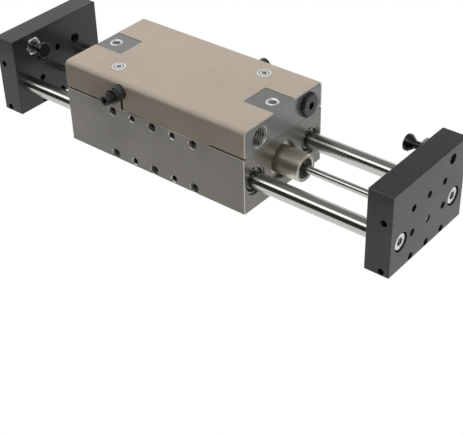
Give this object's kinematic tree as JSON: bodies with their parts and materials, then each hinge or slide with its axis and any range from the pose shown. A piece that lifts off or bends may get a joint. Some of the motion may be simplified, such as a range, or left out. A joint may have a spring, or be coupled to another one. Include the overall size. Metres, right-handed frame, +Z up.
{
  "type": "guided linear module",
  "caption": "Guided linear slide: a flat housing under a bent sheet cover, with guide rods and a through rod that carry end plates, sprung buffers and hard stops.",
  "frame": {"origin": "middle of the housing's base face, where the module stands", "axes": "+X along the guide rods towards the plate with the longer gap (front); +Y towards the side whose port is plugged; +Z up from the base"},
  "size_m": [0.379, 0.1159, 0.0707],
  "materials": {
    "housing_aluminium": "clear anodised, milled, semi-gloss",
    "cover_sheet": "satin warm grey anodised sheet",
    "plate_aluminium": "black anodised, satin",
    "tube_aluminium": "turned and anodised, satin",
    "ground_steel": "hardened, ground and polished",
    "screw_steel": "turned, zinc plated",
    "stop_steel": "black oxide on turned steel",
    "spring_steel": "blackened spring steel",
    "bearing_steel": "ground bearing steel",
    "cage_plastic": "moulded cage with its balls",
    "seal_rubber": "matt black rubber",
    "gland_aluminium": "turned",
    "bonded_magnet": "plastic-bonded magnet",
    "port_bush": "pale, fine turned",
    "fitting_black": "black, semi-gloss",
    "fitting_metal": "bright plated washer",
    "buffer_black": "black oxide, threaded",
    "plunger_black": "black moulded, semi-gloss"
  },
  "bodies": {
    "housing": {"lower_block": "housing_aluminium", "upper_block": "housing_aluminium", "cover": "cover_sheet", "cylinder_tube": "tube_aluminium", "tube_collar_front": "tube_aluminium", "tube_collar_rear": "tube_aluminium", "cover_screw_front": "screw_steel", "cover_screw_rear": "screw_steel", "block_screws": "screw_steel", "stop_front": "stop_steel", "stop_rear": "stop_steel", "snap_ring_front_left": "spring_steel", "snap_ring_front_right": "spring_steel", "snap_ring_rear_left": "spring_steel", "snap_ring_rear_right": "spring_steel", "tube_snap_ring_front": "spring_steel", "tube_snap_ring_rear": "spring_steel", "bush_front_left": "bearing_steel", "bush_front_right": "bearing_steel", "bush_rear_left": "bearing_steel", "bush_rear_right": "bearing_steel", "ball_cage_front_left": "cage_plastic", "ball_cage_front_right": "cage_plastic", "ball_cage_rear_left": "cage_plastic", "ball_cage_rear_right": "cage_plastic", "wiper_front_left": "seal_rubber", "wiper_front_right": "seal_rubber", "wiper_rear_left": "seal_rubber", "wiper_rear_right": "seal_rubber", "rod_seal_front": "seal_rubber", "rod_seal_rear": "seal_rubber", "rod_gland_front": "gland_aluminium", "rod_gland_rear": "gland_aluminium", "port_ring_front": "port_bush", "port_ring_rear": "port_bush", "fitting_body_rear": "fitting_black", "fitting_sleeve_rear": "fitting_black", "fitting_plug_front": "fitting_black", "fitting_washer_rear": "fitting_metal"},
    "carriage": {"front_plate": "plate_aluminium", "rear_plate": "plate_aluminium", "guide_rod_left": "ground_steel", "guide_rod_right": "ground_steel", "piston_rod": "ground_steel", "rod_screws_front": "screw_steel", "rod_screws_rear": "screw_steel", "buffer_nut_front": "screw_steel", "buffer_nut_rear": "screw_steel", "piston_seals": "seal_rubber", "piston": "gland_aluminium", "piston_magnet": "bonded_magnet", "buffer_body_front": "buffer_black", "buffer_body_rear": "buffer_black"},
    "buffer_front": {"buffer_plunger_front": "plunger_black"},
    "buffer_rear": {"buffer_plunger_rear": "plunger_black"}
  },
  "joints": [
    {"name": "carriage_slide", "type": "slide", "parent": "housing", "child": "carriage", "axis": [1, 0, 0], "range_m": [-0.0813, 0.0383]},
    {"name": "buffer_slide_front", "type": "slide", "parent": "carriage", "child": "buffer_front", "axis": [1, 0, 0], "range_m": [0, 0.004], "stiffness_N_per_m": 400, "springref_m": -0.004},
    {"name": "buffer_slide_rear", "type": "slide", "parent": "carriage", "child": "buffer_rear", "axis": [-1, 0, 0], "range_m": [0, 0.004], "stiffness_N_per_m": 400, "springref_m": -0.004}
  ]
}
